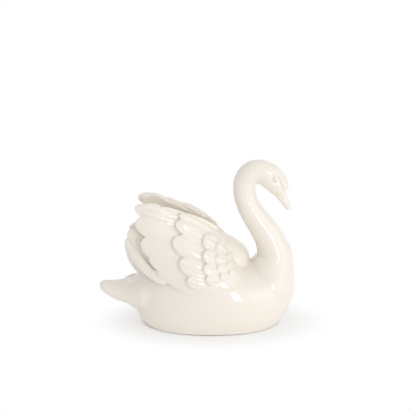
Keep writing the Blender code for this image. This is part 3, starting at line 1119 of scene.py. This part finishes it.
@dataclass
class Casting:
    """The whole figurine, cast in one piece."""

    body: Body = field(default_factory=Body)
    head: NeckAndHead = field(default_factory=NeckAndHead)
    wings: tuple[Wing, ...] = field(
        default_factory=lambda: tuple(Wing(side) for side in Side)
    )
    finish: GlazedPorcelain = field(default_factory=GlazedPorcelain)
    # Fineness of the skin in millimetres, how often it is rubbed smooth, how
    # often where it is bare, and how hard
    grain: float = 0.4
    rubbing: int = 4
    plain_rubbing: int = 40
    rubbing_share: float = 0.5
    most_triangles: int = 190_000
    foot_radius: float = 0.9
    # Where the skin turns more than this, in degrees, it is shaded as an edge
    sharp_angle: float = 60.0
    # The bare skin is rubbed longer: below a height, and ahead of a place up to
    # a height of the neck, but not on the tail
    plain_top: float = 24.0
    plain_front: float = 22.0
    plain_neck: float = 50.0
    plain_tail: float = -44.0
    plain_fade: float = 5.0
    plain_levels: int = 10
    # How often the depths of the folds are evened out, and which counts as full
    fold_spread: int = 14
    strongest_fold: float = 0.8
    # The ring round the eye, the slot over the knob and the line of the mouth
    grooves: tuple[Groove, ...] = (
        Groove(oval(39.2, 76.3, 2.1, 1.7, 42.0), 0.5, 0.42, 3.0),
        Groove(((42.4, 74.0), (42.9, 72.4), (43.2, 70.6)), 0.5, 0.75),
        Groove(((41.6, 67.6), (43.2, 64.9), (45.3, 61.4)), 0.4, 0.2, 0.8),
    )

    def model(self) -> bpy.types.Object:
        """Builds up the shapes.

        Returns:
            The model as one object, in metres.
        """
        clay = ClayModel()
        self.body.build(clay)
        self.head.build(clay)
        for wing in self.wings:
            wing.build(clay)
        bm = clay.mesh
        bmesh.ops.scale(bm, vec=(MM, MM, MM), verts=bm.verts[:])
        mesh = bpy.data.meshes.new("porcelain_swan")
        bm.to_mesh(mesh)
        bm.free()
        obj = bpy.data.objects.new("porcelain_swan", mesh)
        bpy.context.scene.collection.objects.link(obj)
        return obj

    @staticmethod
    def work_in(obj: bpy.types.Object) -> bpy.types.Mesh:
        """Works the modifiers into the mesh.

        Args:
            obj: The object.

        Returns:
            Its new mesh.
        """
        graph = bpy.context.evaluated_depsgraph_get()
        mesh = bpy.data.meshes.new_from_object(obj.evaluated_get(graph))
        obj.modifiers.clear()
        obj.data = mesh
        return mesh

    @staticmethod
    def points_of(mesh: bpy.types.Mesh, what: str = "co") -> np.ndarray:
        """Reads values of a mesh's points.

        Args:
            mesh: The mesh.
            what: Their places, co, or their normals, normal.

        Returns:
            One row of three values for each point.
        """
        values = np.empty(3 * len(mesh.vertices))
        mesh.vertices.foreach_get(what, values)
        return values.reshape(-1, 3)

    def rub(self, obj: bpy.types.Object, times: int, group: str = "") -> None:
        """Adds a smoothing of the skin, or of one vertex group of it.

        Args:
            obj: The object.
            times: How often it is smoothed.
            group: The vertex group, or nothing for the whole skin.
        """
        soft = obj.modifiers.new("rubbed", "SMOOTH")
        soft.factor = self.rubbing_share
        soft.iterations = times
        soft.vertex_group = group

    def mark_plain_skin(self, obj: bpy.types.Object) -> None:
        """Puts the bare skin in a vertex group, in a few levels of weight.

        Args:
            obj: The object.
        """
        x, _, z = self.points_of(obj.data).T / MM
        low = (self.plain_top - z) / self.plain_fade
        ahead = (x - self.plain_front) / self.plain_fade
        below = (self.plain_neck - z) / self.plain_fade
        off_tail = (x - self.plain_tail) / self.plain_fade
        plain = np.minimum(np.maximum(low, np.minimum(ahead, below)), off_tail)
        levels = self.plain_levels
        level_of = np.rint(levels * np.clip(plain, 0.0, 1.0)).astype(int)
        group = obj.vertex_groups.new(name="plain")
        for level in range(1, levels + 1):
            inside = np.flatnonzero(level_of == level).tolist()
            group.add(inside, level / levels, "REPLACE")

    def draw_skin(self, obj: bpy.types.Object) -> None:
        """Draws one skin round the shapes and rubs it smooth.

        Args:
            obj: The object that holds the shapes.
        """
        skin = obj.modifiers.new("skin", "REMESH")
        skin.mode = "VOXEL"
        skin.voxel_size = self.grain * MM
        self.rub(obj, self.rubbing)
        self.work_in(obj)
        self.mark_plain_skin(obj)
        self.rub(obj, self.plain_rubbing, "plain")
        mesh = self.work_in(obj)
        mesh.calc_loop_triangles()
        fewer = obj.modifiers.new("fewer", "DECIMATE")
        fewer.ratio = min(1.0, self.most_triangles / len(mesh.loop_triangles))
        fewer.use_collapse_triangulate = True
        self.work_in(obj)
        obj.vertex_groups.clear()

    def scratch_details(self, mesh: bpy.types.Mesh) -> None:
        """Scratches the grooves into the skin.

        Args:
            mesh: The skin.
        """
        points = self.points_of(mesh)
        sink = sum(groove.sink(points / MM) for groove in self.grooves)
        points -= self.points_of(mesh, "normal") * (sink * MM)[:, None]
        mesh.vertices.foreach_set("co", points.ravel())
        mesh.update()

    def stand_on(self, mesh: bpy.types.Mesh, low: Vector, high: Vector) -> None:
        """Brings the skin to a box and cuts it flat at the box's floor.

        Args:
            mesh: The skin.
            low: The box's lowest corner.
            high: The box's highest corner.
        """
        points = self.points_of(mesh)
        least = points.min(axis=0)
        most = points.max(axis=0)
        least[2] = 0.0
        stretch = (np.array(high) - np.array(low)) / (most - least)
        points = (points - least) * stretch + np.array(low)
        mesh.vertices.foreach_set("co", points.ravel())
        bm = bmesh.new()
        bm.from_mesh(mesh)
        cut = bmesh.ops.bisect_plane(
            bm,
            geom=bm.verts[:] + bm.edges[:] + bm.faces[:],
            dist=CUT_SNAP,
            plane_co=(0.0, 0.0, low.z),
            plane_no=(0.0, 0.0, 1.0),
            clear_inner=True,
        )
        rim = [e for e in cut["geom_cut"] if isinstance(e, bmesh.types.BMEdge)]
        made = bmesh.ops.edgeloop_fill(bm, edges=rim)
        bmesh.ops.triangulate(bm, faces=made["faces"])
        bmesh.ops.recalc_face_normals(bm, faces=bm.faces[:])
        bm.to_mesh(mesh)
        bm.free()
        mesh.update()

    def round_foot(self, mesh: bpy.types.Mesh) -> None:
        """Rounds the edge of the foot, as a wet sponge does to raw clay.

        Args:
            mesh: The skin.
        """
        points = self.points_of(mesh)
        out = self.points_of(mesh, "normal")[:, :2]
        out /= np.maximum(np.linalg.norm(out, axis=1, keepdims=True), NEARLY_ZERO)
        radius = self.foot_radius * MM
        low = np.clip(1.0 - points[:, 2] / radius, 0.0, 1.0)
        points[:, :2] -= out * (radius * (1.0 - np.sqrt(1.0 - low**2)))[:, None]
        mesh.vertices.foreach_set("co", points.ravel())
        mesh.update()

    def mark_folds(self, mesh: bpy.types.Mesh) -> None:
        """Stores how deep in a fold each point lies, from -1 on a ridge to 1.

        Args:
            mesh: The skin.
        """
        points = self.points_of(mesh) / MM
        normals = self.points_of(mesh, "normal")
        ends = np.empty(2 * len(mesh.edges), int)
        mesh.edges.foreach_get("vertices", ends)
        ends = ends.reshape(-1, 2)
        both = np.concatenate([ends, ends[:, ::-1]])
        count = np.bincount(both[:, 0], minlength=len(points))

        def around(values: np.ndarray) -> np.ndarray:
            """The mean value of each point's neighbours."""
            total = np.bincount(both[:, 0], values[both[:, 1]], minlength=len(points))
            return total / np.maximum(count, 1)

        middle = np.stack([around(column) for column in points.T], axis=1)
        run = np.linalg.norm(points[ends[:, 0]] - points[ends[:, 1]], axis=1).mean()
        fold = 2 * ((middle - points) * normals).sum(axis=1) / run**2
        for _ in range(self.fold_spread):
            fold = 0.5 * (fold + around(fold))
        fold = np.clip(fold / self.strongest_fold, -1.0, 1.0)
        stored = mesh.attributes.new("fold", "FLOAT", "POINT")
        stored.data.foreach_set("value", fold.astype(np.float32))

    def build(self) -> bpy.types.Object:
        """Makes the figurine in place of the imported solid.

        Returns:
            The finished object.
        """
        obj = self.model()
        self.draw_skin(obj)
        self.scratch_details(obj.data)
        low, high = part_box("swan")
        self.stand_on(obj.data, low, high)
        self.round_foot(obj.data)
        self.mark_folds(obj.data)
        mesh = obj.data
        mesh.name = "porcelain_swan"
        mesh.shade_smooth()
        mesh.set_sharp_from_angle(angle=math.radians(self.sharp_angle))
        mesh.materials.clear()
        mesh.materials.append(self.finish.make())
        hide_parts("swan")
        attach(obj, "root")
        return obj


@dataclass(frozen=True)
class PaperTable:
    """A sheet of white paper, lit from below, that runs out to plain white."""

    colour: str = "F4F2F0"
    # Half its side, in metres
    half_size: float = 4.0
    # The oval of the foot: its middle and its half length and width, in metres
    foot_middle: tuple[float, float, float] = (0.007, 0.0, 0.0)
    foot_half: tuple[float, float, float] = (0.033, 0.022, 1.0)
    # Where the paper runs out, as multiples of the oval, and how white it is at
    # the foot, close to the foot and far from it
    fade_start: float = 1.0
    fade_close: float = 1.12
    fade_end: float = 1.95
    foot_white: float = 0.0
    close_white: float = 0.58
    # The share of that white that lights the swan from below
    glow: float = 0.3

    def make(self) -> bpy.types.Object:
        """Lays the sheet.

        Returns:
            The sheet, as an object that isn't part of the figurine.
        """
        bm = bmesh.new()
        bmesh.ops.create_grid(bm, x_segments=2, y_segments=2, size=self.half_size)
        mesh = bpy.data.meshes.new("paper_table")
        bm.to_mesh(mesh)
        bm.free()
        mesh.materials.append(self.material())
        obj = bpy.data.objects.new("paper_table", mesh)
        bpy.context.scene.collection.objects.link(obj)
        return obj

    def material(self) -> bpy.types.Material:
        """Mixes the paper.

        Returns:
            Matt paper that is plain white to the camera far from the swan.
        """
        material = bpy.data.materials.new("white_paper")
        material.use_nodes = True
        tree = material.node_tree
        tree.nodes.clear()
        place = add_node(tree, "ShaderNodeTexCoord").outputs["Object"]
        off_foot = add_node(
            tree,
            "ShaderNodeVectorMath",
            {"operation": "SUBTRACT"},
            in0=place,
            in1=self.foot_middle,
        ).outputs[0]
        in_ovals = add_node(
            tree,
            "ShaderNodeVectorMath",
            {"operation": "DIVIDE"},
            in0=off_foot,
            in1=self.foot_half,
        ).outputs[0]
        away = add_node(
            tree, "ShaderNodeVectorMath", {"operation": "LENGTH"}, in0=in_ovals
        ).outputs["Value"]
        near = add_node(
            tree,
            "ShaderNodeMapRange",
            Value=away,
            From_Min=self.fade_start,
            From_Max=self.fade_close,
            To_Min=self.foot_white,
            To_Max=self.close_white,
        )
        far = add_node(
            tree,
            "ShaderNodeMapRange",
            {"interpolation_type": "SMOOTHSTEP"},
            Value=away,
            From_Min=self.fade_close,
            From_Max=self.fade_end,
            To_Min=0.0,
            To_Max=1.0 - self.close_white,
        )
        white_share = add_node(
            tree,
            "ShaderNodeMath",
            {"operation": "ADD"},
            in0=near.outputs[0],
            in1=far.outputs[0],
        )
        shown = add_node(
            tree,
            "ShaderNodeMapRange",
            Value=seen_directly(tree),
            To_Min=self.glow,
            To_Max=1.0,
        )
        share = add_node(
            tree,
            "ShaderNodeMath",
            {"operation": "MULTIPLY"},
            in0=white_share.outputs[0],
            in1=shown.outputs[0],
        )
        paper = add_node(tree, "ShaderNodeBsdfDiffuse", Color=srgb(self.colour))
        white = add_node(tree, "ShaderNodeEmission", Strength=1.0)
        mix = add_node(
            tree,
            "ShaderNodeMixShader",
            in0=share.outputs[0],
            in1=paper.outputs[0],
            in2=white.outputs[0],
        )
        add_node(tree, "ShaderNodeOutputMaterial", Surface=mix.outputs[0])
        return material


def seen_directly(tree: bpy.types.NodeTree) -> bpy.types.NodeSocket:
    """Tells how a surface is looked at.

    Args:
        tree: The node tree.

    Returns:
        1 where the camera, a reflection or a clear body looks at the surface.
    """
    path = add_node(tree, "ShaderNodeLightPath")
    mirrored = add_node(
        tree,
        "ShaderNodeMath",
        {"operation": "MAXIMUM"},
        in0=path.outputs["Is Glossy Ray"],
        in1=path.outputs["Is Transmission Ray"],
    )
    seen = add_node(
        tree,
        "ShaderNodeMath",
        {"operation": "MAXIMUM"},
        in0=path.outputs["Is Camera Ray"],
        in1=mirrored.outputs[0],
    )
    return seen.outputs[0]


@dataclass(frozen=True)
class Softbox:
    """A rectangular lamp that looks at the swan."""

    name: str
    # Degrees to the right of the camera's side and above the table
    azimuth: float
    elevation: float
    # How far from the swan and how large, in metres
    distance: float
    width: float
    height: float
    # 1 is as bright as white paper
    brightness: float
    target: tuple[float, float, float] = (0.005, 0.0, 0.035)

    def make(self) -> bpy.types.Object:
        """Hangs the lamp.

        Returns:
            The lamp in its place.
        """
        lamp = bpy.data.lights.new(self.name, "AREA")
        lamp.shape = "RECTANGLE"
        lamp.size = self.width
        lamp.size_y = self.height
        lamp.energy = self.brightness * math.pi * self.width * self.height
        obj = bpy.data.objects.new(self.name, lamp)
        away = direction(self.azimuth, self.elevation)
        obj.location = Vector(self.target) + away * self.distance
        obj.rotation_mode = "QUATERNION"
        obj.rotation_quaternion = away.to_track_quat("Z", "Y")
        bpy.context.scene.collection.objects.link(obj)
        return obj


def direction(azimuth: float, elevation: float) -> Vector:
    """The way from the swan to a place round it.

    Args:
        azimuth: Degrees to the right of -Y.
        elevation: Degrees above the table.

    Returns:
        A vector of length 1.
    """
    turn = math.radians(azimuth)
    rise = math.radians(elevation)
    level = math.cos(rise)
    return Vector((math.sin(turn) * level, -math.cos(turn) * level, math.sin(rise)))


@dataclass(frozen=True)
class Camera:
    """The camera that took the picture."""

    azimuth: float = 0.8
    elevation: float = 15.0
    lens: float = 100.0
    sensor: float = 36.0
    # How large the swan stands in the square picture
    picture: float = 416.0
    pixels_per_mm: float = 1.985
    # What it sees lies between these distances, in metres
    nearest: float = 0.01
    farthest: float = 20.0
    target: tuple[float, float, float] = (0.00554, 0.0, 0.05998)

    def make(self) -> bpy.types.Object:
        """Sets the camera up.

        Returns:
            The camera in its place.
        """
        data = bpy.data.cameras.new("camera")
        data.lens = self.lens
        data.sensor_width = self.sensor
        data.clip_start = self.nearest
        data.clip_end = self.farthest
        obj = bpy.data.objects.new("camera", data)
        distance = self.picture * self.lens / self.sensor / self.pixels_per_mm * MM
        away = direction(self.azimuth, self.elevation)
        obj.location = Vector(self.target) + away * distance
        obj.rotation_mode = "QUATERNION"
        obj.rotation_quaternion = away.to_track_quat("Z", "Y")
        bpy.context.scene.collection.objects.link(obj)
        bpy.context.scene.camera = obj
        return obj


@dataclass
class Studio:
    """The table, the lamps, the sky and the camera."""

    table: PaperTable = field(default_factory=PaperTable)
    camera: Camera = field(default_factory=Camera)
    lamps: tuple[Softbox, ...] = (
        Softbox("front_lamp", 26.0, 7.0, 0.9, 0.11, 0.5, 11.0),
        Softbox("side_lamp", 62.0, 16.0, 1.0, 0.7, 0.5, 0.75),
    )
    sky_brightness: float = 0.68
    # How much brighter the sky is to the right, to the back and overhead
    sky_slope: tuple[float, float, float] = (0.12, -0.06, 0.06)

    def make_sky(self) -> None:
        """Soft light all round, white where it is looked at."""
        world = bpy.data.worlds.new("studio")
        world.use_nodes = True
        tree = world.node_tree
        tree.nodes.clear()
        way = add_node(tree, "ShaderNodeTexCoord").outputs["Generated"]
        uneven = add_node(
            tree,
            "ShaderNodeVectorMath",
            {"operation": "DOT_PRODUCT"},
            in0=way,
            in1=self.sky_slope,
        ).outputs["Value"]
        strength = add_node(
            tree,
            "ShaderNodeMath",
            {"operation": "ADD"},
            in0=uneven,
            in1=self.sky_brightness,
        )
        light, white = (
            add_node(
                tree,
                "ShaderNodeBackground",
                Color=(1.0, 1.0, 1.0, 1.0),
                Strength=value,
            )
            for value in (strength.outputs[0], 1.0)
        )
        mix = add_node(
            tree,
            "ShaderNodeMixShader",
            in0=seen_directly(tree),
            in1=light.outputs[0],
            in2=white.outputs[0],
        )
        add_node(tree, "ShaderNodeOutputWorld", Surface=mix.outputs[0])
        bpy.context.scene.world = world

    def build(self) -> None:
        """Sets everything up round the swan."""
        self.make_sky()
        log.info("table: %s", self.table.make().name)
        for lamp in self.lamps:
            log.info("lamp: %s", lamp.make().name)
        log.info("camera: %s", self.camera.make().name)
        bpy.context.scene.view_settings.view_transform = "Standard"


def main() -> None:
    """Builds the figurine and the studio and reports each piece."""
    logging.basicConfig(level=logging.INFO, format="%(message)s")
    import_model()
    swan = Casting().build()
    log.info("piece: %s, %d faces", swan.name, len(swan.data.polygons))
    Studio().build()


if __name__ == "__main__":
    main()
